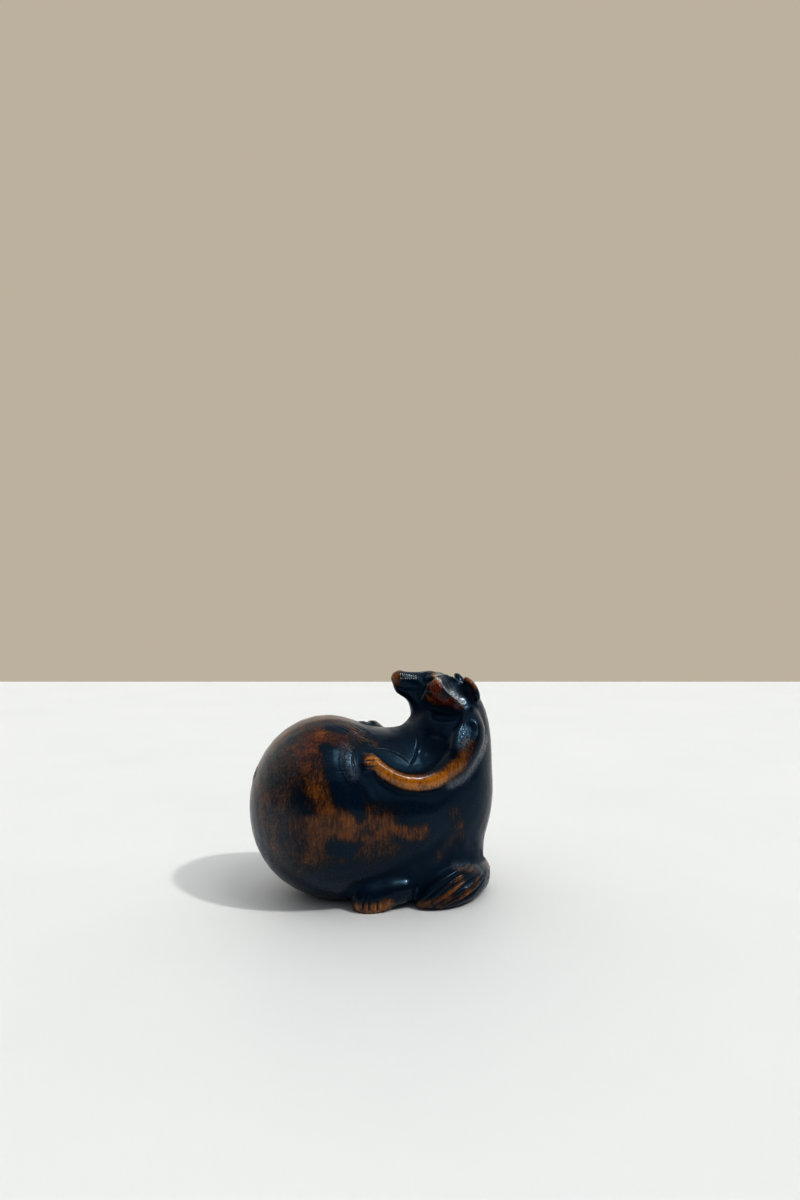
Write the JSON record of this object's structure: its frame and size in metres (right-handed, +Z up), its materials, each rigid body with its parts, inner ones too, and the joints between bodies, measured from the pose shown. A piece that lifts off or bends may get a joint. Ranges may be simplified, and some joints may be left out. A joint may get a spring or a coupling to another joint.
{
  "type": "carved wooden netsuke",
  "caption": "Carved netsuke of a seated raccoon dog patting its huge round belly; a small toggle that stands by its own weight, with a bent cord passage.",
  "frame": {"origin": "centre of the bounding box in plan, on the table it stands on", "axes": "+Z up; the animal faces -Y; its left side, with the tail's tip, is +X"},
  "size_m": [0.028, 0.0422, 0.0378],
  "materials": {
    "stained_boxwood": "boxwood stained blue-black and polished by handling, worn through to orange-brown on the arm, cheek ruff, nose, ear, toes, tail and the side of the belly"
  },
  "bodies": {
    "root": {"raccoon_dog_figure": "stained_boxwood"}
  },
  "joints": []
}
